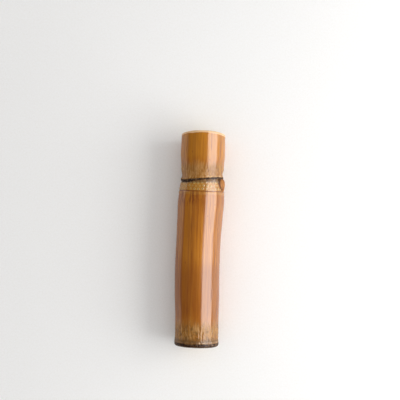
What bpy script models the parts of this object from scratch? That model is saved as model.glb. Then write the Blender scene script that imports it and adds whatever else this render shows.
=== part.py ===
# Sugarcane stalk: a short cut length of cane, lying on its side along Y.
# One whole internode runs between two leaf scars, and a stub of the next one is left at the +Y end.
# The cane grew towards -Y, so each scar has its root band and growth ring on its -Y side.
# Metres, +Z up, origin at the centre of the underside.
import math

import bmesh
import bpy
from mathutils import Matrix, Vector, noise

# Lengths along the stalk, from the upper leaf scar
stub_length = 0.0297
internode_length = 0.1130
tail_length = 0.0025          # what is left beyond the lower leaf scar
lower_scar = -internode_length
stalk_end = lower_scar - tail_length

# Radii of the cane
stub_radius = 0.01535
waist_radius = 0.01405        # just before the upper leaf scar, under its wax band
scar_radius = 0.0145
root_band_radius = 0.0151
growth_ring_radius = 0.01585
swell_radius = 0.01607        # widest place, just past the growth ring
internode_radius = 0.0154
lower_waist_radius = 0.01495
lower_scar_radius = 0.0153

# Leaf scars: where each dark ledge is centred, how far it spreads, and its torn edge
scar_places = (-0.0003, lower_scar - 0.0006)
scar_half_height = 0.0013
scar_tear = 0.00045
scar_slant = 0.066            # the upper scar leans, its +X side further towards +Y
scar_slant_reach = 0.0075
tears_round = 4.5             # noise cells across the stalk's radius
fine_tears_round = 12.0

# Root band, with its rows of root dots, and the growth ring past it
root_band_start = -0.0019
root_band_middle = -0.0052
root_band_end = -0.0084
growth_ring_middle = -0.0098
growth_ring_end = -0.0112
dot_rows = (-0.0032, -0.0053, -0.0074)
dots_in_a_row = 36
dot_radius = 0.0012
dot_height = 0.0003

# Bud: a flat scale on a wider, thinner wing, and the furrow that runs up the internode from it
bud_angle = math.radians(66)  # from straight up, towards +X
bud_length = 0.0100
bud_width = 0.0078
bud_thickness = 0.0020
bud_tilt = math.radians(4.5)  # its tip stands further out, as the root band widens
bud_base = -0.0008 + scar_slant * scar_radius * math.sin(bud_angle)  # just past the leaning scar
bud_sink = 0.0001
bud_tip_taper = 0.42
wing_length = bud_length * 1.08
wing_width = bud_width * 1.3
wing_thickness = bud_thickness * 0.42
furrow_depth = 0.00035
furrow_length = 0.060
furrow_half_angle = math.radians(13)

# Form of the whole length
bow_depth = 0.00105           # how far the internode bows towards -X
bow_start = 0.08              # as shares of the internode
bow_end = 0.96
stub_offset = 0.0004          # how far the stub stands to +X of the line between the ends
stub_offset_fades = 0.25      # share of the internode over which that is lost
arch_height = 0.0003
two_lobes = 0.006             # out of round, as shares of the radius
two_lobes_turn = 0.9
three_lobes = 0.0024
three_lobes_twist = 25        # radians for each metre along the stalk
cut_slope = 0.18              # the stub's saw cut leans, longer on top
cut_slope_reach = 0.016
cut_bevel = 0.0006
flat_half_width = 0.0030      # the two small flats that the stalk rests on
rest_height = math.sqrt(swell_radius ** 2 - flat_half_width ** 2)
end_drop = rest_height - math.sqrt(lower_scar_radius ** 2 - flat_half_width ** 2)

# Finishes: base colour and roughness
rind_finish = ((0.47, 0.19, 0.025), 0.35)
scar_finish = ((0.05, 0.022, 0.010), 0.8)
pith_finish = ((0.62, 0.42, 0.19), 0.85)

# Mesh fineness
columns = 72
long_step = 0.0056
short_span = 0.004            # a stretch shorter than this gets short steps
short_step = 0.0009
bud_segments = 18
bud_rings = 12
merge_distance = 0.00001
smooth_angle = math.radians(40)


def profile_knots():
    """Distance along the stalk and radius, from the stub's cut end to the tail's."""
    return [
        (stub_length, stub_radius - 0.0002),
        (0.0165, stub_radius),
        (0.0065, stub_radius - 0.0006),
        (0.0026, waist_radius),
        (0.0011, waist_radius + 0.0002),
        (0.0003, scar_radius),
        (-0.0010, scar_radius + 0.00005),
        (root_band_start, scar_radius - 0.0001),
        (root_band_middle, root_band_radius),
        (root_band_end, root_band_radius + 0.00035),
        (growth_ring_middle, growth_ring_radius),
        (growth_ring_end, growth_ring_radius - 0.00005),
        (-0.0162, swell_radius),
        (-0.0300, internode_radius + 0.0003),
        (-0.0400, internode_radius),
        (-0.0600, internode_radius + 0.0001),
        (-0.0800, internode_radius + 0.0001),
        (lower_scar + 0.0150, internode_radius - 0.0003),
        (lower_scar + 0.0035, lower_waist_radius),
        (lower_scar + 0.0011, lower_waist_radius + 0.0002),
        (lower_scar + 0.0002, lower_scar_radius),
        (lower_scar - 0.0014, lower_scar_radius - 0.0001),
        (stalk_end, lower_scar_radius - 0.0006),
    ]


def eased(share):
    return share * share * (3 - 2 * share)


def clamped(value):
    return min(max(value, 0.0), 1.0)


def radius_at(along):
    """Radius of the round profile at one distance along the stalk."""
    knots = profile_knots()
    for (start, radius), (end, next_radius) in zip(knots, knots[1:]):
        if along >= end:
            share = clamped((start - along) / (start - end))
            return radius + (next_radius - radius) * eased(share)
    return knots[-1][1]


def profile_stations():
    """Distances along the stalk at which the profile has a point, closer together at the nodes."""
    knots = [along for along, _ in profile_knots()]
    stations = [knots[0]]
    for start, end in zip(knots, knots[1:]):
        span = start - end
        step = short_step if span < short_span else long_step
        count = max(1, round(span / step))
        stations += [start - span * (i + 1) / count for i in range(count)]
    return stations


def turned_stalk():
    """The round form: half a profile swept round by a Screw modifier, as a mesh of its own."""
    inner = profile_stations()[1:-1]
    points = [(0, stub_length), (radius_at(stub_length) - cut_bevel, stub_length)]
    points += [(radius_at(stub_length), stub_length - cut_bevel)]
    points += [(radius_at(along), along) for along in inner]
    points += [(radius_at(stalk_end), stalk_end + cut_bevel)]
    points += [(radius_at(stalk_end) - cut_bevel, stalk_end), (0, stalk_end)]
    mesh = bpy.data.meshes.new("stalk_profile")
    edges = [(i, i + 1) for i in range(len(points) - 1)]
    mesh.from_pydata([(radius, 0, along) for radius, along in points], edges, [])
    profile = bpy.data.objects.new("stalk_profile", mesh)
    bpy.context.scene.collection.objects.link(profile)
    screw = profile.modifiers.new("Screw", "SCREW")
    screw.axis = "Z"
    screw.steps = columns
    screw.render_steps = columns
    screw.use_merge_vertices = True
    screw.merge_threshold = merge_distance
    graph = bpy.context.evaluated_depsgraph_get()
    turned = bpy.data.meshes.new_from_object(profile.evaluated_get(graph))
    bpy.data.objects.remove(profile)
    turned.transform(Matrix.Rotation(math.radians(-90), 4, "X"))
    return turned


def centre_at(along):
    """Where the stalk's axis runs: the internode bows to -X, and sinks so that both nodes touch down."""
    share = clamped(-along / internode_length)
    offset = stub_offset * (1 - eased(clamped(share / stub_offset_fades)))
    bow_share = clamped((share - bow_start) / (bow_end - bow_start))
    bow = bow_depth * math.sin(math.pi * bow_share) ** 2
    arch = arch_height * math.sin(math.pi * share) ** 2
    return Vector((offset - bow, along, arch - end_drop * share ** 2))


def angle_between(a, b):
    return (a - b + math.pi) % math.tau - math.pi


def dot_lift(angle, along, radius):
    """Root dots: low round swellings in staggered rows round the root band."""
    pitch = math.tau / dots_in_a_row
    lift = 0.0
    for row, row_along in enumerate(dot_rows):
        turn = (angle - row * pitch / 2) % pitch
        across = min(turn, pitch - turn) * radius
        distance = math.hypot(across, along - row_along)
        lift = max(lift, dot_height * (1 - distance / dot_radius))
    return lift


def furrow_dip(angle, along):
    """The shallow groove that runs up the internode from the bud."""
    share = clamped((bud_base - bud_length - along) / furrow_length)
    if share in (0.0, 1.0):
        return 0.0
    across = clamped(1 - abs(angle_between(angle, bud_angle)) / furrow_half_angle)
    return furrow_depth * eased(across) * math.sin(math.pi * math.sqrt(share))


def scar_tear_at(angle, along):
    """How far the torn edge of a leaf scar shifts a point, along the stalk and outwards alike."""
    near = max(clamped(1 - abs(along - scar) / (scar_half_height * 1.4)) for scar in scar_places)
    around = Vector((math.cos(angle), math.sin(angle), along / scar_radius * 0.6))
    wave = noise.noise(around * tears_round) + 0.5 * noise.noise(around * fine_tears_round)
    return scar_tear * wave * near


def out_of_round_lift(angle, along, radius):
    """The slow swellings that keep a grown cane from being truly round."""
    two = two_lobes * math.cos(2 * angle + two_lobes_turn)
    three = three_lobes * math.cos(3 * angle - three_lobes_twist * along)
    return radius * (two + three)


def shape_stalk(mesh):
    """Moves each point of the round form to its place on the grown one, then onto the flats."""
    for vertex in mesh.vertices:
        across, along, up = vertex.co
        radius = math.hypot(across, up)
        outward = Vector((across, 0, up)) / max(radius, merge_distance)
        angle = math.atan2(across, up)
        rim = clamped(radius / radius_at(along))
        tear = scar_tear_at(angle, along)
        lift = out_of_round_lift(angle, along, radius) + tear
        lift += dot_lift(angle, along, radius) - furrow_dip(angle, along)
        slope = eased(clamped((along - stub_length + cut_slope_reach) / cut_slope_reach))
        slant = scar_slant * across * eased(clamped(1 - abs(along) / scar_slant_reach))
        lengthwise = Vector((0, cut_slope * slope * up + slant + tear * rim, 0))
        vertex.co = centre_at(along) + outward * (radius + lift * rim) + lengthwise
    for vertex in mesh.vertices:
        vertex.co.z = max(vertex.co.z + rest_height, 0.0)


def bud_shape(length, width, thickness, name):
    """A pointed oval scale, lying along -Y with its outer side up, centred on its base end."""
    shape = bmesh.new()
    bmesh.ops.create_uvsphere(shape, u_segments=bud_segments, v_segments=bud_rings, radius=1)
    for vertex in shape.verts:
        lengthways, sideways, outwards = vertex.co
        taper = 1 - bud_tip_taper * eased(clamped((lengthways + 0.1) / 1.1))
        across = sideways * taper * width / 2
        vertex.co = (across, -(lengthways + 1) * length / 2, outwards * thickness)
    bmesh.ops.recalc_face_normals(shape, faces=shape.faces)
    mesh = bpy.data.meshes.new(name)
    shape.to_mesh(mesh)
    shape.free()
    return mesh


def place_on_stalk(mesh, collection):
    """Stands a bud shape on the stalk's surface at the bud's angle, as a helper to be joined in."""
    helper = bpy.data.objects.new(mesh.name, mesh)
    collection.objects.link(helper)
    outward = Vector((math.sin(bud_angle), 0, math.cos(bud_angle)))
    base = centre_at(bud_base) + Vector((0, 0, rest_height))
    helper.location = base + outward * (scar_radius - bud_sink)
    helper.rotation_euler = (-bud_tilt, bud_angle, 0)
    helper.hide_render = True
    helper.display_type = "WIRE"
    return helper


def join_in(stalk, helper):
    union = stalk.modifiers.new("Join " + helper.name, "BOOLEAN")
    union.operation = "UNION"
    union.solver = "EXACT"
    union.object = helper


def finish_material(name, finish):
    colour, roughness = finish
    material = bpy.data.materials.new(name)
    material.use_nodes = True
    shader = material.node_tree.nodes["Principled BSDF"]
    shader.inputs["Base Color"].default_value = (*colour, 1)
    shader.inputs["Roughness"].default_value = roughness
    shader.inputs["Metallic"].default_value = 0
    return material


def paint_regions(mesh):
    """Rind all over, dark sheath remains on the two scars, and bare pith on the two saw cuts."""
    rind, scar, pith = range(3)
    mesh.materials.append(finish_material("cane_rind", rind_finish))
    mesh.materials.append(finish_material("leaf_scar", scar_finish))
    mesh.materials.append(finish_material("cut_pith", pith_finish))
    for face in mesh.polygons:
        along = face.center.y
        from_axis = math.hypot(face.center.x, face.center.z - rest_height)
        if from_axis < waist_radius * 0.9:
            face.material_index = pith
        elif min(abs(along - place) for place in scar_places) < scar_half_height:
            face.material_index = scar
        else:
            face.material_index = rind


def centre_on_origin(mesh, helpers):
    """Slides everything so that the origin lies under the middle of the length and of the width."""
    points = [vertex.co for vertex in mesh.vertices]
    points += [helper.matrix_basis @ vertex.co for helper in helpers for vertex in helper.data.vertices]
    middle = Vector((0, 0, 0))
    for axis in (0, 1):
        places = [point[axis] for point in points]
        middle[axis] = (min(places) + max(places)) / 2
    mesh.transform(Matrix.Translation(-middle))
    for helper in helpers:
        helper.location -= middle


def build():
    for old in list(bpy.data.objects):
        bpy.data.objects.remove(old)
    parts = bpy.data.collections.new("sugarcane_stalk")
    helpers = bpy.data.collections.new("helpers")
    bpy.context.scene.collection.children.link(parts)
    bpy.context.scene.collection.children.link(helpers)

    mesh = turned_stalk()
    mesh.name = "sugarcane_stalk"
    shape_stalk(mesh)
    paint_regions(mesh)
    stalk = bpy.data.objects.new("sugarcane_stalk", mesh)
    parts.objects.link(stalk)

    wing = bud_shape(wing_length, wing_width, wing_thickness, "bud_wing")
    scale = bud_shape(bud_length, bud_width, bud_thickness, "bud_scale")
    buds = [place_on_stalk(shape, helpers) for shape in (wing, scale)]
    centre_on_origin(mesh, buds)
    for bud in buds:
        join_in(stalk, bud)
    mesh.shade_smooth()
    mesh.set_sharp_from_angle(angle=smooth_angle)


build()
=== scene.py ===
import math
import random

import bmesh
import bpy
import numpy as np
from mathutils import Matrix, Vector, noise


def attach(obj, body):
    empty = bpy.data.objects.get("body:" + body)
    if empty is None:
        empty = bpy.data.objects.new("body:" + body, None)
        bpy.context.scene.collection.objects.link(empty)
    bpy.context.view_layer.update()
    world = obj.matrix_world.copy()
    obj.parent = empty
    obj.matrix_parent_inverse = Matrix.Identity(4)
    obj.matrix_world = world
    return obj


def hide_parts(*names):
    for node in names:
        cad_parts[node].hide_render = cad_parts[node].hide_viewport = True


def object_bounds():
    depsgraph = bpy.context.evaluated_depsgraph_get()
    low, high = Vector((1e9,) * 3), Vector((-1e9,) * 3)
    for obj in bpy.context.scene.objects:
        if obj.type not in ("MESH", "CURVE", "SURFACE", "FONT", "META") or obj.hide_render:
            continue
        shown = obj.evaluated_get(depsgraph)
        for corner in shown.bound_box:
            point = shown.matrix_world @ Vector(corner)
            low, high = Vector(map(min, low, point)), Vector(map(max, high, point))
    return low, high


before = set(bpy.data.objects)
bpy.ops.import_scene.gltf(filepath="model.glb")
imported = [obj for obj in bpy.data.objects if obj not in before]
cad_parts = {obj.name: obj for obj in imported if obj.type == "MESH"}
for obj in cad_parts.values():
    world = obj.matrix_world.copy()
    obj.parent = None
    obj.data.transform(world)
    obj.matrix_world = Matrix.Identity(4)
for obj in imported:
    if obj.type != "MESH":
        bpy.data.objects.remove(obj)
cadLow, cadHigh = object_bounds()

# A short cut length of sugarcane, lying along Y with its stub end at +Y.
# It grew towards -Y. Lengths along the cane are in metres from the upper leaf scar.
cane = {
    "stubLength": 0.0297,
    "internodeLength": 0.1130,
    "tailLength": 0.0025,
    "stubRadius": 0.01535,
    "waistRadius": 0.01405,
    "scarRadius": 0.0145,
    "rootBandRadius": 0.0151,
    "growthRingRadius": 0.01585,
    "swellRadius": 0.01607,
    "internodeRadius": 0.0154,
    "lowerWaistRadius": 0.01495,
    "lowerScarRadius": 0.0153,
    "bowDepth": 0.00105,         # how far the internode bows to -X
    "bowStart": 0.08,            # as shares of the internode
    "bowEnd": 0.96,
    "stubOffset": 0.0004,
    "stubOffsetFades": 0.25,
    "archHeight": 0.0003,
    "twoLobes": 0.006,           # out of round, as shares of the radius
    "twoLobesTurn": 0.9,
    "threeLobes": 0.0024,
    "threeLobesTwist": 25,
    "cutSlope": 0.18,            # the stub's saw cut leans, longer on top
    "cutSlopeReach": 0.016,
    "scarSlant": 0.066,          # the upper scar leans, its +X side further towards +Y
    "scarSlantReach": 0.0075,
    "cutBevel": 0.0006,
    "flatHalfWidth": 0.0030,
    "sideShift": 0.0000707,      # centres the width on the origin
}
lowerScar = -cane["internodeLength"]
stalkEnd = lowerScar - cane["tailLength"]
alongToY = cadLow.y - stalkEnd
restHeight = math.sqrt(cane["swellRadius"] ** 2 - cane["flatHalfWidth"] ** 2)
endDrop = restHeight - math.sqrt(cane["lowerScarRadius"] ** 2 - cane["flatHalfWidth"] ** 2)


def eased(share):
    share = np.clip(share, 0, 1)
    return share * share * (3 - 2 * share)


def ridge(distance, halfWidth):
    return eased(1 - np.abs(distance) / halfWidth)    # 1 on the line, 0 from halfWidth away


def turnFrom(angle, middle):
    return (angle - middle + math.pi) % math.tau - math.pi    # the shorter way round


def dome(distance, radius):
    return np.clip(1 - (distance / radius) ** 2, 0, 1)


# Places along the cane and the radius there, from the tail to the stub's cut end
profileKnots = np.array([
    (stalkEnd, cane["lowerScarRadius"] - 0.0006),
    (lowerScar - 0.0014, cane["lowerScarRadius"] - 0.0001),
    (lowerScar + 0.0002, cane["lowerScarRadius"]),
    (lowerScar + 0.0011, cane["lowerWaistRadius"] + 0.0002),
    (lowerScar + 0.0035, cane["lowerWaistRadius"]),
    (lowerScar + 0.0150, cane["internodeRadius"] - 0.0003),
    (-0.0800, cane["internodeRadius"] + 0.0001),
    (-0.0600, cane["internodeRadius"] + 0.0001),
    (-0.0400, cane["internodeRadius"]),
    (-0.0300, cane["internodeRadius"] + 0.0003),
    (-0.0162, cane["swellRadius"]),
    (-0.0112, cane["growthRingRadius"] - 0.00005),
    (-0.0098, cane["growthRingRadius"]),
    (-0.0084, cane["rootBandRadius"] + 0.00035),
    (-0.0052, cane["rootBandRadius"]),
    (-0.0019, cane["scarRadius"] - 0.0001),
    (-0.0010, cane["scarRadius"] + 0.00005),
    (0.0003, cane["scarRadius"]),
    (0.0011, cane["waistRadius"] + 0.0002),
    (0.0026, cane["waistRadius"]),
    (0.0065, cane["stubRadius"] - 0.0006),
    (0.0165, cane["stubRadius"]),
    (cane["stubLength"], cane["stubRadius"] - 0.0002),
])


def profileRadius(along):
    places, radii = profileKnots.T
    index = np.clip(np.searchsorted(places, along) - 1, 0, len(places) - 2)
    share = (along - places[index]) / (places[index + 1] - places[index])
    return radii[index] + (radii[index + 1] - radii[index]) * eased(share)


def noiseOver(points, cells, seed=0):
    # Noise at each point, with that many cells to the metre on each axis
    return np.array([
        noise.noise(Vector((x * cells[0] + seed * 7.3, y * cells[1] - seed * 3.1, z * cells[2] + seed)))
        for x, y, z in points
    ])


def roundNoise(angle, cells, seed=0, height=0.0):
    # Noise round the cane, with that many cells to the radius
    points = np.column_stack((np.sin(angle), np.zeros_like(angle) + height, np.cos(angle)))
    return noiseOver(points, (cells, 1, cells), seed)


def placeOnCane(angle, along, radius, lengthwise=0):
    # From cane measures to the frame: the angle is from straight up, towards +X
    share = np.clip(-along / cane["internodeLength"], 0, 1)
    offset = cane["stubOffset"] * (1 - eased(share / cane["stubOffsetFades"]))
    bowShare = np.clip((share - cane["bowStart"]) / (cane["bowEnd"] - cane["bowStart"]), 0, 1)
    bow = cane["bowDepth"] * np.sin(math.pi * bowShare) ** 2
    arch = cane["archHeight"] * np.sin(math.pi * share) ** 2
    x = offset - bow + radius * np.sin(angle) + cane["sideShift"]
    z = arch - endDrop * share ** 2 + radius * np.cos(angle) + restHeight
    nearScar = ridge(along, cane["scarSlantReach"])
    y = along + lengthwise + cane["scarSlant"] * radius * np.sin(angle) * nearScar + alongToY
    return np.clip(np.column_stack((x, y, z)), cadLow, cadHigh)


def outOfRound(angle, along):
    two = cane["twoLobes"] * np.cos(2 * angle + cane["twoLobesTurn"])
    return two + cane["threeLobes"] * np.cos(3 * angle - cane["threeLobesTwist"] * along)


# Operator helpers
def selectOnly(*objects):
    bpy.ops.object.select_all(action="DESELECT")
    for obj in objects:
        obj.select_set(True)
    bpy.context.view_layer.objects.active = objects[-1] if objects else None


def newPiece(name, addPrimitive, **settings):
    selectOnly()
    addPrimitive(**settings)
    piece = bpy.context.object
    piece.name = name
    piece.data.name = name
    bpy.ops.object.transform_apply(location=True, rotation=True, scale=True)
    return piece


def cutLengthwise(piece, cuts):
    # Subdivides the edges that run along Y
    selectOnly(piece)
    bpy.ops.object.mode_set(mode="EDIT")
    bpy.ops.mesh.select_mode(type="EDGE")
    bpy.ops.mesh.select_all(action="DESELECT")
    edit = bmesh.from_edit_mesh(piece.data)
    for edge in edit.edges:
        first, second = edge.verts
        if abs(first.co.y - second.co.y) > 1e-5:
            edge.select_set(True)
    bmesh.update_edit_mesh(piece.data)
    bpy.ops.mesh.subdivide(number_cuts=cuts)
    bpy.ops.object.mode_set(mode="OBJECT")


def joinInto(piece, others):
    selectOnly(*others, piece)
    bpy.ops.object.join()


def tidyMesh(piece, mergeDistance=1e-6):
    selectOnly(piece)
    bpy.ops.object.mode_set(mode="EDIT")
    bpy.ops.mesh.select_all(action="SELECT")
    bpy.ops.mesh.remove_doubles(threshold=mergeDistance)
    bpy.ops.mesh.normals_make_consistent(inside=False)
    bpy.ops.object.mode_set(mode="OBJECT")


def dress(piece, *materials):
    for material in materials:
        piece.data.materials.append(material)
    selectOnly(piece)
    bpy.ops.object.shade_smooth_by_angle(angle=math.radians(60))


def readPoints(piece):
    flat = np.empty(len(piece.data.vertices) * 3)
    piece.data.vertices.foreach_get("co", flat)
    return flat.reshape(-1, 3)


def writePoints(piece, points):
    piece.data.vertices.foreach_set("co", points.reshape(-1))
    piece.data.update()


def writeAttributes(piece, **values):
    for name, numbers in values.items():
        attribute = piece.data.attributes.new(name, "FLOAT", "POINT")
        attribute.data.foreach_set("value", numbers)


# Shader helpers
def colour(hexText):
    # A colour written as on a paint chart, as the linear values that Blender wants
    parts = [int(hexText[i:i + 2], 16) / 255 for i in (0, 2, 4)]
    linear = [part / 12.92 if part <= 0.04045 else ((part + 0.055) / 1.055) ** 2.4 for part in parts]
    return (*linear, 1.0)


def addNode(tree, kind, inputs=None, **settings):
    node = tree.nodes.new("ShaderNode" + kind)
    for name, value in settings.items():
        setattr(node, name, value)
    for name, value in (inputs or {}).items():
        if isinstance(value, bpy.types.NodeSocket):
            tree.links.new(value, node.inputs[name])
        else:
            node.inputs[name].default_value = value
    return node


def mathStep(tree, operation, *values):
    return addNode(tree, "Math", dict(enumerate(values)), operation=operation).outputs[0]


def times(tree, *values):
    product = values[0]
    for value in values[1:]:
        product = mathStep(tree, "MULTIPLY", product, value)
    return product


def addShares(tree, values, shares):
    # The sum of two values, each times its share
    return mathStep(tree, "ADD", *(times(tree, value, share) for value, share in zip(values, shares)))


def mapTo(tree, value, fromLow, fromHigh, toLow=0.0, toHigh=1.0):
    node = addNode(tree, "MapRange", {
        "Value": value, "From Min": fromLow, "From Max": fromHigh, "To Min": toLow, "To Max": toHigh,
    }, interpolation_type="SMOOTHSTEP")
    return node.outputs["Result"]


def mixValues(tree, mask, first, second):
    return addNode(tree, "Mix", {0: mask, 2: first, 3: second}).outputs[0]


def mixColours(tree, mask, first, second):
    return addNode(tree, "Mix", {0: mask, 6: first, 7: second}, data_type="RGBA").outputs[2]


def mixPair(tree, mask, hexTexts):
    return mixColours(tree, mask, *map(colour, hexTexts))


def noiseTexture(tree, place, cells, detail):
    return addNode(tree, "TexNoise", {"Vector": place, "Scale": cells, "Detail": detail}).outputs[0]


def newGroup(name, inputs):
    # A group that makes one mask from a place and some values
    tree = bpy.data.node_groups.new(name, "ShaderNodeTree")
    tree.interface.new_socket("Vector", in_out="INPUT", socket_type="NodeSocketVector")
    for title in inputs:
        tree.interface.new_socket(title, in_out="INPUT", socket_type="NodeSocketFloat")
    tree.interface.new_socket("Mask", in_out="OUTPUT", socket_type="NodeSocketFloat")
    return tree, tree.nodes.new("NodeGroupInput").outputs, tree.nodes.new("NodeGroupOutput").inputs


def placeGroup(tree, group, *values):
    return addNode(tree, "Group", dict(enumerate(values)), node_tree=group).outputs[0]


def stretchPlace(tree, place, across, along):
    scale = addNode(tree, "CombineXYZ", {"X": across, "Y": along, "Z": across}).outputs[0]
    return addNode(tree, "VectorMath", {0: place, 1: scale}, operation="MULTIPLY").outputs[0]


def makeStreakGroup():
    # Streaks that run lengthwise: noise stretched along Y
    tree, given, result = newGroup("Lengthwise streaks", ("Across", "Along", "Detail", "Low", "High"))
    grain = addNode(tree, "TexNoise", {
        "Vector": stretchPlace(tree, given["Vector"], given["Across"], given["Along"]),
        "Scale": 1.0, "Detail": given["Detail"], "Roughness": 0.6,
    })
    tree.links.new(mapTo(tree, grain.outputs[0], given["Low"], given["High"]), result["Mask"])
    return tree


def makeBandGroup():
    # A band round the cane at one place along it, with an uneven edge
    tree, given, result = newGroup("Band round the cane", (
        "Along", "Place", "Half Width", "Softness", "Unevenness", "Cells"))
    wander = noiseTexture(tree, given["Vector"], given["Cells"], 3.0)
    shift = times(tree, mathStep(tree, "SUBTRACT", wander, 0.5), given["Unevenness"])
    fromPlace = mathStep(tree, "SUBTRACT", given["Along"], given["Place"])
    distance = mathStep(tree, "ABSOLUTE", mathStep(tree, "ADD", fromPlace, shift))
    outside = mathStep(tree, "SUBTRACT", distance, given["Half Width"])
    softShare = mathStep(tree, "DIVIDE", outside, given["Softness"])
    tree.links.new(mapTo(tree, softShare, 1.0, 0.0), result["Mask"])
    return tree


def makeFleckGroup():
    # Scattered specks, one in each chosen cell of a pattern
    tree, given, result = newGroup("Flecks", ("Cells", "Stretch", "Size", "Share"))
    cells = addNode(tree, "TexVoronoi", {
        "Vector": stretchPlace(tree, given["Vector"], 1.0, given["Stretch"]), "Scale": given["Cells"]})
    chance = addNode(tree, "SeparateColor", {0: cells.outputs["Color"]})
    chosen = mathStep(tree, "LESS_THAN", chance.outputs[0], given["Share"])
    near = mapTo(tree, cells.outputs["Distance"], given["Size"], times(tree, given["Size"], 0.4))
    tree.links.new(times(tree, near, chosen), result["Mask"])
    return tree


streaks = makeStreakGroup()
bandRound = makeBandGroup()
flecks = makeFleckGroup()


def newMaterial(name, shaderValues):
    material = bpy.data.materials.new(name)
    material.use_nodes = True
    tree = material.node_tree
    shader = tree.nodes["Principled BSDF"]
    for socket, value in shaderValues.items():
        shader.inputs[socket].default_value = value
    place = addNode(tree, "TexCoord").outputs["Object"]
    return material, tree, shader, place


def feedShader(tree, shader, values):
    for socket, value in values.items():
        tree.links.new(value, shader.inputs[socket])


def bumpFrom(tree, height, distance):
    return addNode(tree, "Bump", {"Height": height, "Distance": distance}).outputs[0]


def readAttribute(tree, name):
    return addNode(tree, "Attribute", attribute_name=name).outputs["Fac"]


def paintLayers(tree, base, masks, layers):
    # Lays one tint over the other: each layer is a mask, its strength and a colour
    for mask, strength, shade in layers:
        base = mixColours(tree, times(tree, masks[mask], strength), base, colour(shade))
    return base


# Streaks are: cells to the metre across and along, detail, and where the mask starts and is full.
# Bands are: middle along the cane, half width, softness and unevenness of the edge, and its cells
# to the metre. Sides are: X where the mask starts and where it is full, and its values there.
rindLook = {
    "shader": {"IOR": 1.12, "Coat Roughness": 0.18, "Coat IOR": 1.8},
    "rind": ("8a4606", "c87d16"),
    "toneShares": (0.36, 0.64),      # of the broad and of the fine streaks
    "streaks": {
        "broadStreaks": (75, 7, 3, 0.36, 0.64),
        "fineStreaks": (720, 11, 5, 0.40, 0.60),
        "hairStreaks": (2300, 42, 3, 0.32, 0.70),
        "goldStreaks": (500, 12, 4, 0.60, 0.76),
        "redStreaks": (430, 17, 4, 0.57, 0.72),
        "blushStreaks": (760, 80, 3, 0.46, 0.62),
        "waxStreaks": (1000, 110, 4, 0.36, 0.66),
        "wrinkles": (620, 330, 5, 0.48, 0.62),
    },
    "bands": {
        "stub": (cane["stubLength"], 0.0120, 0.0100, 0.0060, 90),
        "lowStretch": (-0.0790, 0.0120, 0.0150, 0.0100, 90),
        "upperWax": (0.0035, 0.0030, 0.0065, 0.0060, 190),
        "lowerWax": (lowerScar + 0.0050, 0.0042, 0.0085, 0.0090, 190),
        "lowerScarShade": (lowerScar + 0.0010, 0.0008, 0.0030, 0.0030, 240),
        "wholeRootBand": (-0.0052, 0.0031, 0.0006, 0.0006, 400),
        "rootShade": (-0.0024, 0.0006, 0.0008, 0.0014, 300),
        "growthRing": (-0.0101, 0.0006, 0.0010, 0.0014, 240),
        "ringLine": (-0.0089, 0.00016, 0.00022, 0.0006, 300),
        "blushBand": (-0.0135, 0.0026, 0.0040, 0.0040, 260),
        # Pale lips above the two leaf scars; a side mask adds a painted highlight to them towards +X
        "upperLip": (0.0009, 0.0002, 0.0004, 0.0014, 420),
        "lowerLip": (lowerScar + 0.0012, 0.0002, 0.0004, 0.0012, 420),
        "tail": (stalkEnd + 0.0004, 0.0006, 0.0004, 0.0012, 300),
        "cutEdge": (cane["stubLength"], 0.0013, 0.0004, 0.0014, 260),
    },
    "sides": {
        # Painted shade: the rind is tinted darker and redder towards -X, the side away from the lamps
        "paintedShadeTowardsMinusX": (0.001, -0.011, 0.0, 1.0),
        "blushSide": (0.004, -0.006, 0.2, 1.0),
        # Painted highlight: the scar lips are a little paler all round and much paler towards +X, where the
        # lamps' highlight falls
        "lipPaintedHighlightSide": (-0.002, 0.005, 0.15, 1.0),
        "glossSide": (-0.0160, -0.0080, 0.5, 1.0),
    },
    "marks": {                       # attribute, and the millimetres where the mask starts and is full
        "dotHalo": ("dotDistance", 0.95, 0.55),
        "dotHeart": ("dotDistance", 0.50, 0.24),
        "crack": ("crackDistance", 0.42, 0.08),
    },
    "specks": (420, 0.40, 0.2, 0.16),    # cells to the metre, stretch, size, and share of the cells
    "underWax": [                    # mask, strength and colour, one over the other
        ("everywhere", 0.25, "b0660a"),
        ("stub", 0.45, "cf8712"),
        ("hairStreaks", 0.13, "d5953a"),
        ("goldStreaks", 0.3, "d5953a"),
        ("redStreaks", 0.68, "6f2e0a"),
        ("specks", 0.4, "6f2e0a"),
        ("lowStretch", 0.5, "8a4606"),
        # painted shade towards -X, the side away from the lamps
        ("paintedShadeTowardsMinusX", 0.16, "6f2e0a"),
    ],
    "wax": ("7e5a29", "c08f55"),
    "overWax": [
        ("lowerWrinkles", 0.68, "6a4a22"),
        ("lowerScarShade", 0.6, "5d4024"),
        ("rootBand", 1.0, "b98130"),
        ("rootShade", 0.65, "7b5a38"),
        ("growthRing", 0.4, "c58e3e"),
        ("ringLine", 0.8, "6b2f0a"),
        ("dotHalo", 0.5, "e6c573"),
        ("dotHeart", 0.8, "4a260c"),
        ("blush", 0.65, "6f2e0a"),
        # pale scar lips, with a painted highlight towards +X
        ("lipsWithPaintedHighlight", 0.75, "e0b884"),
        ("tail", 0.8, "4a2d16"),
        ("scarBrown", 0.75, "6a4a26"),
        # the leaf scar's own dark colour and painted shadow under its ledge, broadest towards -X
        ("scarDark", 0.95, "26160d"),
        ("crack", 0.7, "6b2f0a"),
        ("cutEdge", 0.9, "efc798"),
    ],
    "waxCover": (0.5, 0.95),         # least and most, by the wax streaks
    "lipCover": (0.3, 1.0),
    "rootBandCover": (0.45, 0.85),   # least and most, by the fine streaks
    "roughness": (0.40, 0.54),
    "dullRoughness": 0.62,
    "waxDullness": 0.75,
    "coat": (0.95, 0.2),             # on clean rind, and where it is dull
    "reliefShares": (0.6, 0.4),      # of the fine and of the hair streaks
    "relief": 0.00005,
}


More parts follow.
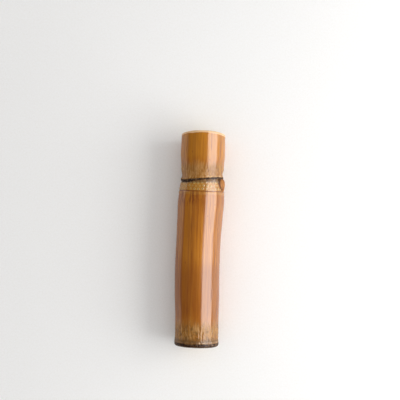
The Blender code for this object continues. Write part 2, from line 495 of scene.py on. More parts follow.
def makeRindMaterial():
    look = rindLook
    material, tree, shader, place = newMaterial("Cane rind", look["shader"])
    along = readAttribute(tree, "alongCane")
    towardsX = addNode(tree, "SeparateXYZ", {0: place}).outputs["X"]
    masks = {name: placeGroup(tree, streaks, place, *row) for name, row in look["streaks"].items()}
    for name, row in look["bands"].items():
        masks[name] = placeGroup(tree, bandRound, place, along, *row)
    masks.update({name: mapTo(tree, towardsX, *row) for name, row in look["sides"].items()})
    masks.update({name: readAttribute(tree, name) for name in ("scarBrown", "scarDark")})
    for name, (attribute, start, full) in look["marks"].items():
        masks[name] = mapTo(tree, readAttribute(tree, attribute), start, full)
    fine, waxStreaks = masks["fineStreaks"], masks["waxStreaks"]
    masks["everywhere"] = 1.0
    masks["specks"] = placeGroup(tree, flecks, place, *look["specks"])
    masks["lowerWrinkles"] = times(tree, masks["lowerWax"], masks["wrinkles"])
    rootBandCover = mapTo(tree, fine, 0, 1, *look["rootBandCover"])
    masks["rootBand"] = times(tree, masks["wholeRootBand"], rootBandCover)
    masks["blush"] = times(tree, masks["blushBand"], masks["blushStreaks"], masks["blushSide"])
    # The pale lips of both scars, with a painted highlight towards +X from the side mask
    bothLips = mathStep(tree, "MAXIMUM", masks["upperLip"], masks["lowerLip"])
    masks["lipsWithPaintedHighlight"] = times(tree, bothLips, masks["lipPaintedHighlightSide"], mapTo(tree, waxStreaks, 0, 1, *look["lipCover"]))

    tone = addShares(tree, (masks["broadStreaks"], fine), look["toneShares"])
    base = mixPair(tree, tone, look["rind"])
    base = paintLayers(tree, base, masks, look["underWax"])

    # Dull wax lies over each narrowing, before the leaf scars
    bothWaxes = mathStep(tree, "MAXIMUM", masks["upperWax"], masks["lowerWax"])
    wax = times(tree, bothWaxes, mapTo(tree, waxStreaks, 0, 1, *look["waxCover"]))
    base = mixColours(tree, wax, base, mixPair(tree, waxStreaks, look["wax"]))
    base = paintLayers(tree, base, masks, look["overWax"])

    dull = mathStep(tree, "MAXIMUM", times(tree, wax, look["waxDullness"]), masks["scarDark"])
    dull = mathStep(tree, "MAXIMUM", dull, masks["cutEdge"])
    cleanRoughness = mapTo(tree, fine, 0, 1, *look["roughness"])
    relief = addShares(tree, (fine, masks["hairStreaks"]), look["reliefShares"])
    feedShader(tree, shader, {
        "Base Color": base,
        "Roughness": mixValues(tree, dull, cleanRoughness, look["dullRoughness"]),
        "Coat Weight": times(tree, mapTo(tree, dull, 0, 1, *look["coat"]), masks["glossSide"]),
        "Normal": bumpFrom(tree, relief, look["relief"]),
    })
    return material


cutLook = {
    "shader": {"IOR": 1.4},
    "pith": ("ffe8bb", "f5d091"),
    "cloudCells": 110.0,
    "fibreCells": 1700.0,
    "sawMarks": {"Scale": 150.0, "Distortion": 3.0, "Detail": 3.0},
    "bundleCells": (820.0, 1500.0),      # towards the middle, and towards the rind
    "bundleScatter": 0.7,
    "nearRind": (0.68, 0.84),
    "masks": {                           # what is read, where the mask starts and is full, and its values
        "cloudy": ("cloud", 0.35, 0.65),
        "damp": ("fibre", 0.40, 0.68),
        "sawn": ("marks", 0.5, 1.0),
        "cloudyAge": ("cloud", 0.42, 0.72, 0.0, 0.6),
        "outerAge": ("fromAxis", 0.4, 1.0, 0.0, 0.5),
        "bundleRing": ("toBundle", 0.46, 0.34),
        "bundleHeart": ("toBundle", 0.31, 0.17),
        "denseRing": ("fromAxis", 0.86, 0.95),
        "edge": ("fromAxis", 0.968, 0.982),
        "roughness": ("cloud", 0.3, 0.75, 0.7, 0.55),
    },
    "underAge": [("damp", 0.3, "d9ac6c"), ("sawn", 0.14, "d9ac6c")],
    "overAge": [
        ("bundleRing", 0.35, "fff6e0"),
        ("bundleHeart", 0.68, "8d6029"),
        ("denseRing", 0.45, "c8964f"),
    ],
    "edgeStrength": 0.9,
    "upper": {"browning": 0.3, "brown": "c39a5c", "edge": "efc798"},
    "lower": {"browning": 0.5, "brown": "ab7a42", "edge": "4e3217"},
    "sawMarkRelief": 0.5,
    "relief": 0.00015,
}


def makeCutMaterial(name, cut):
    look = cutLook
    material, tree, shader, place = newMaterial(name, look["shader"])
    split = addNode(tree, "SeparateXYZ", {0: place}).outputs
    flat = addNode(tree, "CombineXYZ", {"X": split["X"], "Y": split["Z"]}).outputs[0]
    marks = addNode(tree, "TexWave", {"Vector": place, **look["sawMarks"]}, bands_direction="DIAGONAL")
    read = {
        "fromAxis": readAttribute(tree, "fromAxis"),
        "cloud": noiseTexture(tree, place, look["cloudCells"], 3.0),
        "fibre": noiseTexture(tree, place, look["fibreCells"], 3.0),
        "marks": marks.outputs["Fac"],
    }

    # Bundles of fibres, finer and closer together towards the rind
    bundles = []
    for cells in look["bundleCells"]:
        spots = addNode(tree, "TexVoronoi", {
            "Vector": flat, "Scale": cells, "Randomness": look["bundleScatter"],
        }, voronoi_dimensions="2D")
        bundles.append(spots.outputs["Distance"])
    read["toBundle"] = mixValues(tree, mapTo(tree, read["fromAxis"], *look["nearRind"]), *bundles)

    masks = {name: mapTo(tree, read[source], *row) for name, (source, *row) in look["masks"].items()}
    masks["age"] = mathStep(tree, "ADD", masks["cloudyAge"], masks["outerAge"])
    base = mixPair(tree, masks["cloudy"], look["pith"])
    base = paintLayers(tree, base, masks, [
        *look["underAge"],
        ("age", cut["browning"], cut["brown"]),
        *look["overAge"],
        ("edge", look["edgeStrength"], cut["edge"]),
    ])
    fibreRelief = mathStep(tree, "SUBTRACT", read["fibre"], masks["bundleHeart"])
    relief = mathStep(tree, "ADD", times(tree, read["marks"], look["sawMarkRelief"]), fibreRelief)
    feedShader(tree, shader, {
        "Base Color": base,
        "Roughness": masks["roughness"],
        "Normal": bumpFrom(tree, relief, look["relief"]),
    })
    return material


# Dry skins: a pair of colours by one set of streaks, tints over it, and relief by either set
sheathLook = {
    "shader": {"IOR": 1.4},
    "skin": ("24160d", "5e3f20"),
    "streaks": {"colour": (1600, 240, 4, 0.38, 0.66), "patches": (330, 150, 3, 0.50, 0.68)},
    "attributes": (),
    "reliefStreaks": "colour",
    "roughness": (0.85, 0.65),
    "relief": 0.0001,
    "upper": [("patches", 0.35, "a17b4a")],
    "lower": [("patches", 0.4, "a17b4a")],
}
budLook = {
    "shader": {"IOR": 1.45},
    "skin": ("8a4a12", "bd7826"),
    "streaks": {"colour": (450, 120, 3, 0.38, 0.64), "veins": (2200, 160, 3, 0.40, 0.62)},
    "attributes": ("budEdge",),
    "reliefStreaks": "veins",
    "roughness": (0.5, 0.35),
    "relief": 0.0001,
    "layers": [("veins", 0.4, "c98c42"), ("budEdge", 0.85, "3b1d0b")],
}


def makeDrySkinMaterial(name, look, layers):
    material, tree, shader, place = newMaterial(name, look["shader"])
    masks = {key: placeGroup(tree, streaks, place, *row) for key, row in look["streaks"].items()}
    masks.update({key: readAttribute(tree, key) for key in look["attributes"]})
    base = mixPair(tree, masks["colour"], look["skin"])
    ribs = masks[look["reliefStreaks"]]
    feedShader(tree, shader, {
        "Base Color": paintLayers(tree, base, masks, layers),
        "Roughness": mapTo(tree, ribs, 0, 1, *look["roughness"]),
        "Normal": bumpFrom(tree, ribs, look["relief"]),
    })
    return material


fibreLook = {
    "shader": {"Roughness": 0.7, "IOR": 1.4},
    "fibre": ("e6c88f", "a97a3c"),
    "cells": 420.0,
    "browned": (0.4, 0.62),
}


def makeFibreMaterial():
    look = fibreLook
    material, tree, shader, place = newMaterial("Cut fibre ends", look["shader"])
    brown = mapTo(tree, noiseTexture(tree, place, look["cells"], 2.0), *look["browned"])
    feedShader(tree, shader, {"Base Color": mixPair(tree, brown, look["fibre"])})
    return material


ends = ("upper", "lower")
rindMaterial = makeRindMaterial()
cutMaterials = [makeCutMaterial(end.title() + " saw cut", cutLook[end]) for end in ends]
sheathMaterials = {
    end: makeDrySkinMaterial(end.title() + " torn sheath", sheathLook, sheathLook[end]) for end in ends
}
fibreMaterial = makeFibreMaterial()
budMaterial = makeDrySkinMaterial("Bud scales", budLook, budLook["layers"])
print("materials made")


# The stalk: a tube of the cane's size, closed by a disc at each end, then drawn into its grown form
stalkShape = {
    "columns": 288,                  # a multiple of 4, so that the end discs meet it
    "lengthCuts": (6, 39),           # 7 stretches, each cut into 40 rows
    "rowStep": 0.00085,              # rows apart on the plain internode
    "closeRows": [                   # place, reach and step where the cane has finer form
        (cane["stubLength"] - 0.0003, 0.0006, 0.00014),
        (0.0040, 0.0050, 0.00036),
        (-0.0007, 0.0018, 0.00018),
        (-0.0060, 0.0056, 0.00025),
        (lowerScar + 0.0058, 0.0075, 0.00042),
        (lowerScar - 0.0009, 0.0018, 0.00018),
    ],
    "noises": {                      # cells to the metre around and along, seed, and height or share
        "ribs": (1900, 70, 0, 0.000030),
        "broadRibs": (700, 22, 3, 0.000018),
        "lumps": (130, 45, 5, 0.00004),
        "wrinkles": (1100, 260, 9, 1.0),
        "crossWrinkles": (800, 1300, 11, 0.7),
        "pith": (1500, 1, 13, 1.0),
        "groove": (180, 1, 17, 1.1),
        "chips": (900, 1, 19, 1.0),
        "ring": (150, 1, 37, 0.00022),
    },
    "waists": [                      # middle and reach of each narrowing, and the height of its wrinkles
        (0.0045, 0.0070, 0.00012),
        (lowerScar + 0.0050, 0.0105, 0.00022),
    ],
    "dotRows": (-0.0032, -0.0053, -0.0074),
    "dotsInARow": 36,
    "dotRadius": 0.00085,
    "dotHeight": 0.00028,
    "dotPit": 0.00026,
    "dotPitRadius": 0.00034,
    "dotScatter": (0.17, 0.00026),   # around as a share of their spacing, and along
    "dotSizes": (0.84, 0.24),        # the middle size, and how far it varies
    "ringGroove": 0.00018,
    "ringLines": [                   # place, half width, and its shares of the groove and of the wander
        (-0.0089, 0.00035, 1.0, 1.0),
        (-0.0114, 0.0006, 0.35, -1.6),
    ],
    "scarGroove": 0.0003,
    "scarGroovePlace": -0.0016,
    "scarGrooveHalfWidth": 0.0007,
    "scarPlaces": (-0.0003, lowerScar - 0.0006),
    "scarReach": 0.00182,
    "scarTear": 0.00045,
    "tearNoises": ((4.5, 1.0), (12, 0.5), (31, 0.35)),    # cells, and share
    "broadAngle": math.radians(-50),     # where the upper scar is broadest
    "broadReach": math.radians(62),
    # Top and bottom of the black, which is the scar's own dark colour and painted shadow under its ledge,
    # each with its shift where the scar is broadest, then of the brown layer
    "scarColours": [
        (0.0003, -0.0006, -0.0013, -0.0015, -0.0008, -0.0030),
        (lowerScar + 0.0002, 0, lowerScar - 0.0025, 0, lowerScar + 0.0023, lowerScar + 0.0008),
    ],
    "scarWander": 0.00035,
    "sawDepth": 0.00005,
    "pithSink": 0.00030,
    "pithRoughness": 0.00008,
    "chipHeight": 0.00022,
    "chipReach": 0.0012,
    "furrowDepth": 0.00022,
    "furrowLength": 0.060,
    "furrowHalfAngle": math.radians(17),
    "cracks": [                      # angle, start, end and depth of each growth crack
        (49, -0.043, -0.066, 0.00016),
        (42, -0.074, -0.084, 0.00010),
        (-46, 0.0275, 0.015, 0.00010),
        (128, -0.022, -0.066, 0.00028),
        (-112, -0.048, -0.090, 0.00024),
        (-150, 0.024, 0.008, 0.00016),
    ],
    "crackHalfWidth": 0.00045,
    "crackWander": ((0.02, 310), (0.012, 930)),    # turn, and waves along
}

# The bud: a flat scale with veins that meet at its tip, on a wider and thinner wing
budAngle = math.radians(66)
budShape = {
    "base": -0.0008 + cane["scarSlant"] * cane["scarRadius"] * math.sin(budAngle),
    "length": 0.0100,
    "tilt": math.radians(4.5),       # its tip stands further out, as the root band widens
    "parts": {                       # length, width, thickness, share of the veins, and seed
        "bud_scale": (0.0100, 0.0076, 0.0019, 1.0, 2),
        "bud_wing": (0.0106, 0.008968, 0.00055, 0.4, 7),
    },
    "veins": 11,
    "veinHeight": 0.00009,
    "sink": 0.0001,
    "outline": (2.55, 0.5, 0.95),    # width, and its powers from the base and towards the tip
    "rimStart": 0.22,
    "rimFade": 0.34,
    "crinkle": (5, 0.05),            # cells, and share of the size
    "lumps": (2.4, 0.08),
    "slitHalfWidth": 0.16,
    "slitDepth": 0.0003,
    "foldHalfWidth": 0.12,
    "foldDepth": 0.00015,
}


def rowPlaces(rows):
    # Rows along the cane, closer together where it has finer form
    fine = np.linspace(stalkEnd, cane["stubLength"], 6000)
    perMetre = np.full_like(fine, 1 / stalkShape["rowStep"])
    for place, reach, step in stalkShape["closeRows"]:
        near = eased((reach * 1.5 - np.abs(fine - place)) / (reach * 0.5))
        perMetre = np.maximum(perMetre, near / step)
    counted = np.concatenate(([0], np.cumsum((perMetre[1:] + perMetre[:-1]) / 2 * np.diff(fine))))
    return np.interp(np.linspace(0, counted[-1], rows + 1), counted, fine)


def dotDistances(angle, along):
    # Distance from each point to the nearest root dot. Sines of the dots' numbers scatter them
    pitch = math.tau / stalkShape["dotsInARow"]
    around, lengthwise = stalkShape["dotScatter"]
    middleSize, sizeChange = stalkShape["dotSizes"]
    nearest = np.full_like(along, 1.0)
    for row, rowAlong in enumerate(stalkShape["dotRows"]):
        turned = angle - row * pitch / 2
        which = np.round(turned / pitch)
        shifted = which + around * np.sin(which * 12.9898 + row * 4.1)
        across = (turned - shifted * pitch) * cane["scarRadius"]
        fromRow = along - rowAlong - lengthwise * np.sin(which * 7.77 + row)
        size = middleSize + sizeChange * np.sin(which * 5.3 + row * 2.9)
        nearest = np.minimum(nearest, np.hypot(across, fromRow) / size)
    return nearest


def crackDistances(angle, along):
    # Distance to the nearest growth crack, and the depth of the cracks
    nearest = np.full_like(along, 1.0)
    depth = np.zeros_like(along)
    (broadTurn, broadWaves), (fineTurn, fineWaves) = stalkShape["crackWander"]
    for degrees, start, end, deepest in stalkShape["cracks"]:
        wander = broadTurn * np.sin(along * broadWaves + degrees) + fineTurn * np.sin(along * fineWaves)
        turn = turnFrom(angle - wander, math.radians(degrees))
        within = dome(along - (start + end) / 2, abs(start - end) / 2)
        across = np.abs(turn) * cane["internodeRadius"] / np.maximum(within, 0.05) ** 0.5
        across = np.where(within > 0, across, 1.0)
        nearest = np.minimum(nearest, across)
        depth = np.maximum(depth, deepest * within * ridge(across, stalkShape["crackHalfWidth"]))
    return nearest, depth


def scarTears(angle, along):
    # The torn edges of the two leaf scars, which shift points lengthwise and outwards alike
    near = np.zeros_like(along)
    for scar in stalkShape["scarPlaces"]:
        near = np.maximum(near, np.clip(1 - np.abs(along - scar) / stalkShape["scarReach"], 0, 1))
    tears = np.zeros_like(along)
    for i in np.flatnonzero(near > 0):
        around = Vector((math.cos(angle[i]), math.sin(angle[i]), along[i] / cane["scarRadius"] * 0.6))
        tears[i] = sum(part * noise.noise(around * cells) for cells, part in stalkShape["tearNoises"])
    return stalkShape["scarTear"] * tears * near


def scarMarks(angle, along):
    # Where the torn scars are black, partly their own dark colour and partly painted shadow under the scar's
    # ledge, and the brown layer beside them
    wander = roundNoise(angle, 9, 23) + 0.5 * roundNoise(angle, 30, 29)
    broken = roundNoise(angle, 14, 31, along * 900)
    broad = ridge(turnFrom(angle, stalkShape["broadAngle"]), stalkShape["broadReach"])
    edge = stalkShape["scarWander"] * wander
    black = np.zeros_like(along)
    brown = np.zeros_like(along)
    for top, topShift, bottom, bottomShift, brownTop, brownBottom in stalkShape["scarColours"]:
        fromTop = top + topShift * broad + edge - along
        fromBottom = along - bottom - bottomShift * broad + edge
        black = np.maximum(black, eased(fromTop / 0.0003) * eased(fromBottom / 0.0004))
        layer = eased((brownTop + edge - along) / 0.0004) * eased((along - brownBottom + edge) / 0.0004)
        brown = np.maximum(brown, layer * np.clip(0.6 + 2.0 * wander, 0, 1))
    return black * np.clip(1.0 + 0.9 * broken, 0, 1), brown


def furrow(angle, along):
    share = np.clip((budShape["base"] - budShape["length"] - along) / stalkShape["furrowLength"], 0, 1)
    across = ridge(turnFrom(angle, budAngle), stalkShape["furrowHalfAngle"])
    return stalkShape["furrowDepth"] * across * np.sin(math.pi * np.sqrt(share))


def newTube(name, radius, length, middle):
    # An open tube along Y
    return newPiece(name, bpy.ops.mesh.primitive_cylinder_add, vertices=stalkShape["columns"],
                    radius=radius, depth=length, end_fill_type="NOTHING",
                    location=(0, middle, 0), rotation=(math.pi / 2, 0, 0))


def newDisc(radius, end):
    # A grid drawn into a disc across Y, whose rim meets the tube's columns
    cells = stalkShape["columns"] // 4
    disc = newPiece("disc", bpy.ops.mesh.primitive_grid_add, x_subdivisions=cells,
                    y_subdivisions=cells, size=2)
    a, b = readPoints(disc).T[:2]
    wide = np.abs(a) > np.abs(b)
    reach = np.where(wide, a, b)
    safe = np.where(np.abs(reach) < 1e-9, 1, reach)
    turn = np.where(wide, math.pi / 4 * b / safe, math.pi / 2 - math.pi / 4 * a / safe)
    x, z = reach * radius * np.cos(turn), reach * radius * np.sin(turn)
    writePoints(disc, np.column_stack((x, np.full_like(a, end), z)))
    return disc


def makeStalk():
    shape = stalkShape
    radius = cane["internodeRadius"]
    length = cane["stubLength"] - stalkEnd
    stalk = newTube("cane_stalk", radius, length, (cane["stubLength"] + stalkEnd) / 2)
    for cuts in shape["lengthCuts"]:
        cutLengthwise(stalk, cuts)
    joinInto(stalk, [newDisc(radius, end) for end in (stalkEnd, cane["stubLength"])])
    tidyMesh(stalk)

    raw = readPoints(stalk)
    angle = np.arctan2(raw[:, 0], raw[:, 2])
    share = np.hypot(raw[:, 0], raw[:, 2]) / radius
    rows = math.prod(cuts + 1 for cuts in shape["lengthCuts"])
    row = np.round((raw[:, 1] - stalkEnd) / length * rows).astype(int)
    along = rowPlaces(rows)[row]
    fromEnd = np.minimum(along - stalkEnd, cane["stubLength"] - along)
    bevel = cane["cutBevel"]
    chamfer = bevel * (1 - np.sqrt(1 - (1 - np.clip(fromEnd / bevel, 0, 1)) ** 2))
    onRind = np.column_stack((np.sin(angle) * radius, along, np.cos(angle) * radius))

    def noiseNamed(name, points=onRind):
        around, lengthways, seed, height = shape["noises"][name]
        return height * noiseOver(points, (around, lengthways, around), seed)

    dots = dotDistances(angle, along)
    crackAt, crackDepth = crackDistances(angle, along)
    tears = scarTears(angle, along)
    waists = [ridge(along - middle, reach) * height for middle, reach, height in shape["waists"]]
    ringWander = noiseNamed("ring")
    scarGroove = ridge(along - shape["scarGroovePlace"], shape["scarGrooveHalfWidth"])

    lift = profileRadius(along) * outOfRound(angle, along) + tears
    lift += noiseNamed("ribs") + noiseNamed("broadRibs") + noiseNamed("lumps")
    lift += np.maximum(*waists) * (noiseNamed("wrinkles") + noiseNamed("crossWrinkles"))
    lift += shape["dotHeight"] * dome(dots, shape["dotRadius"])
    lift -= shape["dotPit"] * dome(dots, shape["dotPitRadius"])
    for place, halfWidth, part, wanders in shape["ringLines"]:
        lift -= shape["ringGroove"] * part * ridge(along - place + wanders * ringWander, halfWidth)
    lift -= shape["scarGroove"] * scarGroove * np.clip(0.7 + noiseNamed("groove"), 0.1, 1.2)
    lift -= furrow(angle, along) + crackDepth
    final = share * (profileRadius(along) - chamfer + lift)

    # The upper cut leans, and both are sawn a little unevenly, with pith sunk inside the rind
    slope = eased((along - cane["stubLength"] + cane["cutSlopeReach"]) / cane["cutSlopeReach"])
    lengthwise = cane["cutSlope"] * slope * final * np.cos(angle) + tears * share
    x, z = final * np.sin(angle), final * np.cos(angle)
    inward = np.where(along > 0, -1.0, 1.0)
    sawn = shape["sawDepth"] * (1 + np.sin(2300 * (x * 0.8 + z * 0.6) + 2.2 * np.sin(900 * z)))
    sunk = shape["pithSink"] * eased((0.95 - share) / 0.05)
    rough = shape["pithRoughness"] * (1 + noiseNamed("pith", np.column_stack((x, along, z))))
    chips = np.clip(noiseNamed("chips") - 0.05, 0, 1) * eased(1 - fromEnd / shape["chipReach"])
    lengthwise += inward * shape["chipHeight"] * chips * share ** 8
    lengthwise += np.where(share < 0.9999, inward * (sawn + sunk + rough) * eased((1 - share) / 0.06), 0)

    writePoints(stalk, placeOnCane(angle, along, final, lengthwise))
    # The black marks are the scar's dark colour and painted shadow under its ledge
    black, brown = scarMarks(angle, along)
    # The two distances are written in millimetres
    writeAttributes(stalk, alongCane=along, fromAxis=share, dotDistance=np.minimum(dots * 1000, 5),
                    crackDistance=np.minimum(crackAt * 1000, 5), scarDark=black, scarBrown=brown)
    dress(stalk, rindMaterial, *cutMaterials)
    for face in stalk.data.polygons:
        corners = list(face.vertices)
        if fromEnd[corners].max() < bevel * 0.9:
            face.material_index = 1 if along[corners[0]] > 0 else 2
    return stalk


stalk = makeStalk()
print("stalk made:", len(stalk.data.polygons), "faces")


# Torn leaf sheath left on each scar: a thin ragged skirt, broken in places, and loose strands
sheathShape = {
    "rows": 7,
    "thickness": 0.00010,
    "proud": 0.00001,
    "shortest": 0.0001,
    "waviness": 0.00006,
    "upper": {
        "place": 0.0001, "spread": 0.0013, "flare": 0.00008, "seed": 21,
        "wideAngle": math.radians(-46), "wideReach": math.radians(56), "widenBy": 0.0016,
    },
    "lower": {
        "place": lowerScar - 0.0001, "spread": 0.0015, "flare": 0.00004, "seed": 34,
        "wideAngle": math.radians(30), "wideReach": math.radians(50), "widenBy": 0.0004,
    },
}


def makeCollar(name, settings, material):
    collar = newTube(name, 0.5, 1, -0.5)
    cutLengthwise(collar, sheathShape["rows"])
    raw = readPoints(collar)
    angle = np.arctan2(raw[:, 0], raw[:, 2])
    share = -raw[:, 1]
    seed = settings["seed"]
    ragged = roundNoise(angle, 14, seed) + 0.6 * roundNoise(angle, 48, seed)
    uneven = np.clip(0.15 + roundNoise(angle, 2.2, seed) + 0.8 * ragged, 0, 1.2)
    wide = ridge(turnFrom(angle, settings["wideAngle"]), settings["wideReach"])
    reach = sheathShape["shortest"] + settings["spread"] * uneven
    reach += settings["widenBy"] * wide * (1 + 0.5 * ragged)
    along = np.maximum(settings["place"] - share * reach, stalkEnd + 0.0003)
    start = np.full_like(along, settings["place"])
    radius = np.maximum(profileRadius(along), profileRadius(start) - 0.0003)
    radius = radius * (1 + outOfRound(angle, along)) + sheathShape["proud"]
    radius += settings["flare"] * share ** 2 * (0.5 + 1.5 * roundNoise(angle, 9, seed + 5))
    radius += sheathShape["waviness"] * roundNoise(angle, 60, 0, share * 3)
    # Tucked under the rind at its start, and wherever it is very short
    radius -= 0.0005 * ridge(share, 0.15) + 0.0006 * eased(1 - reach / 0.0006)
    writePoints(collar, placeOnCane(angle, along, radius))
    selectOnly(collar)
    solidify = collar.modifiers.new("Solidify", "SOLIDIFY")
    solidify.thickness = sheathShape["thickness"]
    solidify.offset = -1
    bpy.ops.object.modifier_apply(modifier=solidify.name)
    tidyMesh(collar)
    writePoints(collar, np.clip(readPoints(collar), cadLow, cadHigh))
    dress(collar, material)
    return collar


strandShape = {
    "sides": 5,
    "rings": 5,
    "angle": (-math.pi, math.pi),
    "width": (0.00006, 0.00018),
    "shorten": (0.5, 1),
    "sway": (-0.9, 0.9),
    "bend": (-0.25, 0.3),
    "startShift": (-0.0005, 0.0003),
    "upper": {
        "count": 110, "place": -0.0003, "length": (0.0004, 0.0022), "lean": (-0.06, 0.06),
        "keepRadius": 0.0150, "seed": 5,
    },
    "lower": {
        "count": 100, "place": lowerScar, "length": (0.0004, 0.0013), "lean": (-0.04, 0.05),
        "keepRadius": 0.0156, "seed": 8,
    },
}


def makeStrand():
    # One dry fibre, a tapered rod of length 1 along -Y, from the origin
    strand = newPiece("strand", bpy.ops.mesh.primitive_cone_add, vertices=strandShape["sides"], radius1=1.0,
                      radius2=0.25, depth=1, location=(0, -0.5, 0), rotation=(math.pi / 2, 0, 0))
    cutLengthwise(strand, strandShape["rings"])
    return strand


def strandPoints(settings, draw, x, y, z):
    angle, width = draw("angle"), draw("width")
    length = draw("length") * draw("shorten")
    lift, sway, bend = draw("lean"), draw("sway"), draw("bend")
    start = settings["place"] + draw("startShift")
    share = -y
    along = start - share * length
    outward = z * width * 0.5 + length * (lift * share + bend * share ** 2)
    rooted = profileRadius(np.full_like(share, start)) - 0.0003
    radius = np.minimum(np.maximum(rooted, profileRadius(along)) + outward, settings["keepRadius"])
    turn = angle + (x * width + length * sway * share ** 2) / cane["scarRadius"]
    return placeOnCane(turn, along, radius * (1 + outOfRound(turn, along)))


# Short fibre ends that the saw left standing on the cut faces, more of them towards the rind
fibreEnds = {
    "count": 230,
    "angle": (-math.pi, math.pi),
    "reachSquared": (0.1, 0.88 ** 2),    # from the axis, as shares of the radius
    "width": (0.00006, 0.00013),
    "length": (0.00012, 0.00034),
    "lean": (-0.7, 0.7),
    "root": 0.00045,                     # how far inside the cut they start
    "upper": {"end": cane["stubLength"], "outward": 1, "slope": cane["cutSlope"], "seed": 41},
    "lower": {"end": stalkEnd, "outward": -1, "slope": 0, "seed": 43},
}


def fibreEndPoints(settings, draw, x, y, z):
    angle = draw("angle")
    reach = cane["internodeRadius"] * draw("reachSquared") ** 0.5
    width, length = draw("width"), draw("length")
    leanX, leanZ = draw("lean"), draw("lean")
    share = -y
    atX = math.sin(angle) * reach + x * width + length * leanX * share ** 2
    atZ = math.cos(angle) * reach + z * width + length * leanZ * share ** 2
    lengthwise = settings["outward"] * (share * length - settings["root"]) + settings["slope"] * atZ
    along = np.full_like(share, settings["end"])
    return placeOnCane(np.arctan2(atX, atZ), along, np.hypot(atX, atZ), lengthwise)


def scatterRods(name, model, shape, end, material, drawPoints):
    # Copies of the model, each drawn to its own place and size
    settings = {**shape, **shape[end]}
    dice = random.Random(settings["seed"])
    rods = []

    def draw(key):
        return dice.uniform(*settings[key])

    for _ in range(settings["count"]):
        rod = bpy.data.objects.new(model.name, model.data.copy())
        bpy.context.scene.collection.objects.link(rod)
        writePoints(rod, drawPoints(settings, draw, *readPoints(rod).T))
        rods.append(rod)
    piece = rods.pop()
    joinInto(piece, rods)
    piece.name = name
    piece.data.name = name
    tidyMesh(piece, 1e-9)
    dress(piece, material)
    return piece


pieces = [stalk]
for end, material in sheathMaterials.items():
    pieces.append(makeCollar(end + "_sheath_collar", sheathShape[end], material))
strand = makeStrand()
for end, material in sheathMaterials.items():
    name = end + "_sheath_strands"
    pieces.append(scatterRods(name, strand, strandShape, end, material, strandPoints))
for end in ends:
    name = end + "_cut_fibres"
    pieces.append(scatterRods(name, strand, fibreEnds, end, fibreMaterial, fibreEndPoints))
bpy.data.objects.remove(strand)
print("sheath remains and fibre ends made")


def placeBud(piece, sideways, lengthways, outwards):
    # sideways and outwards from the bud's middle line on the rind, lengthways from its base to its tip
    base = placeOnCane(budAngle, budShape["base"], 0.0)[0]
    out = Vector((math.sin(budAngle), 0, math.cos(budAngle)))
    side = Vector((math.cos(budAngle), 0, -math.sin(budAngle)))
    rise, run = math.sin(budShape["tilt"]), math.cos(budShape["tilt"])
    wrapped = outwards - sideways ** 2 / (2 * cane["rootBandRadius"])
    fromAxis = cane["scarRadius"] - budShape["sink"] + wrapped * run + lengthways * rise
    points = base + np.outer(sideways, side) + np.outer(fromAxis, out)
    points[:, 1] = base[1] - lengthways * run + outwards * rise
    writePoints(piece, points)


def makeBudPart(name, length, width, thickness, veins, seed):
    shape = budShape
    part = newPiece(name, bpy.ops.mesh.primitive_uv_sphere_add, segments=96, ring_count=64, radius=1)
    lengthways, sideways, outwards = readPoints(part).T
    share = np.clip((lengthways + 1) / 2, 0, 1)
    roundShare = np.maximum(np.sqrt(np.clip(1 - lengthways ** 2, 0, 1)), 0.001)
    broad, fromBase, toTip = shape["outline"]
    pointed = broad * share ** fromBase * (1 - share) ** toTip / roundShare
    rim = eased(1 - (outwards - shape["rimStart"]) / shape["rimFade"])
    around = np.column_stack((lengthways, sideways, outwards))
    (crinkleCells, crinkle), (lumpCells, lump) = shape["crinkle"], shape["lumps"]
    edgeOut = 1 + crinkle * noiseOver(around, [crinkleCells] * 3, seed) * rim
    lumpy = 1 + lump * noiseOver(around, [lumpCells] * 3, seed + 2)
    fan = sideways / np.maximum(roundShare, 0.05)
    front = np.clip(outwards * 3, 0, 1)
    veinLift = shape["veinHeight"] * veins * np.cos(fan * shape["veins"] * math.pi) * front
    slit = ridge(fan - 0.08 * np.sin(lengthways * 3), shape["slitHalfWidth"])
    slit = slit * front * eased((lengthways + 0.15) / 0.5)
    folds = ridge(np.abs(fan) - 0.62 + 0.25 * lengthways, shape["foldHalfWidth"]) * front * veins
    height = outwards * (0.45 + 0.55 * pointed) * thickness * lumpy + veinLift
    placeBud(part, sideways * pointed * width / 2 * edgeOut, (lengthways * edgeOut + 1) * length / 2,
             height - shape["slitDepth"] * slit - shape["foldDepth"] * folds)
    writeAttributes(part, budEdge=np.maximum(rim, np.maximum(0.7 * slit, 0.35 * folds)))
    tidyMesh(part)
    dress(part, budMaterial)
    return part


for name, measures in budShape["parts"].items():
    pieces.append(makeBudPart(name, *measures))
print("bud made")

for piece in pieces:
    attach(piece, "root")
    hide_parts("sugarcane_stalk")

# Floor, light and camera
stage = {
    "floorSize": 6.0,
    "floorFade": (0.30, 0.80),    # distances over which the floor fades into the backdrop
    "floorGlow": (0.16, 0.60, 0.30),    # where a glow on it starts and is full, and its strength
    "floorColours": ("f4f2ef", "ffffff"),
    "backdropStrength": 0.95,    # what the camera sees past the floor
    "horizonStrength": 0.08,     # what lights and is mirrored in the cane, level and straight up
    "zenithStrength": 0.05,
    "horizonTop": 0.05,          # heights of the sky's direction, 0 level and 1 straight up
    "zenithStart": 0.45,
    "panels": {       # angle from straight up towards +X, distance, Y, width, length and radiance
        "gloss": (math.radians(53.5), 0.5, -0.03, 0.53, 0.90, 4.2),    # only mirrored in the cane
        "key": (math.radians(62), 0.6, -0.03, 0.5, 0.6, 3.3),          # this and the fill only light it
        "fill": (0, 3.0 - restHeight, 0, 14.0, 14.0, 0.66),
    },
    "cameraHeight": 0.75,        # above the cane's axis
    "cameraX": -0.0006,
    "cameraY": 0.0266,
    "cameraRoll": math.radians(1.86),
    "lens": 97.8,
}


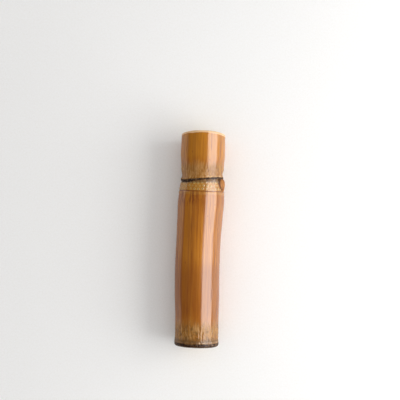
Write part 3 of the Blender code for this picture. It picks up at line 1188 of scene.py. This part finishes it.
def makeFloor():
    floor = newPiece("floor", bpy.ops.mesh.primitive_plane_add, size=stage["floorSize"],
                     location=(0, 0, -0.0001))
    material, tree, shader, place = newMaterial("Floor paper", {"Roughness": 0.9, "Emission Strength": 1.0})
    away = addNode(tree, "VectorMath", {0: place}, operation="LENGTH").outputs["Value"]
    start, full, strength = stage["floorGlow"]
    near, far = stage["floorFade"]
    grain = noiseTexture(tree, place, 900.0, 3.0)
    glow = (strength, strength, strength, 1)
    feedShader(tree, shader, {
        "Base Color": mixPair(tree, grain, stage["floorColours"]),
        "Emission Color": mixColours(tree, mapTo(tree, away, start, full), (0, 0, 0, 1), glow),
        "Alpha": mapTo(tree, away, near, far, 1.0, 0.0),
    })
    floor.data.materials.append(material)


def makeSky():
    # The camera sees a pale backdrop, while a dim sky keeps the rind's amber deep
    world = bpy.data.worlds.new("Studio")
    world.use_nodes = True
    tree = world.node_tree
    direction = addNode(tree, "TexCoord").outputs["Generated"]
    height = addNode(tree, "SeparateXYZ", {0: direction}).outputs["Z"]
    strength = mapTo(tree, height, stage["horizonTop"], stage["zenithStart"],
                     stage["horizonStrength"], stage["zenithStrength"])
    seen = addNode(tree, "LightPath").outputs["Is Camera Ray"]
    shown = mixValues(tree, seen, strength, stage["backdropStrength"])
    tree.nodes["Background"].inputs["Color"].default_value = (1, 1, 1, 1)
    tree.links.new(shown, tree.nodes["Background"].inputs["Strength"])
    bpy.context.scene.world = world


def makeLights():
    for name, (turn, reach, middleY, width, length, radiance) in stage["panels"].items():
        selectOnly()
        place = (reach * math.sin(turn), middleY, reach * math.cos(turn) + restHeight)
        bpy.ops.object.light_add(type="AREA", location=place)
        panel = bpy.context.object
        panel.name = name + "Panel"
        panel.rotation_euler = (0, turn, 0)
        panel.data.shape = "RECTANGLE"
        panel.data.size = width
        panel.data.size_y = length
        panel.data.energy = radiance * math.pi * width * length
        panel.visible_camera = False
        panel.visible_diffuse = name != "gloss"
        panel.visible_glossy = name == "gloss"


def makeCamera():
    selectOnly()
    bpy.ops.object.camera_add(
        location=(stage["cameraX"], stage["cameraY"], restHeight + stage["cameraHeight"]),
        rotation=(0, 0, stage["cameraRoll"]))
    camera = bpy.context.object
    camera.data.lens = stage["lens"]
    camera.data.sensor_width = 36
    camera.data.clip_start = 0.01
    bpy.context.scene.camera = camera


makeFloor()
makeSky()
makeLights()
makeCamera()
bpy.context.scene.view_settings.view_transform = "Standard"
print("stage set")
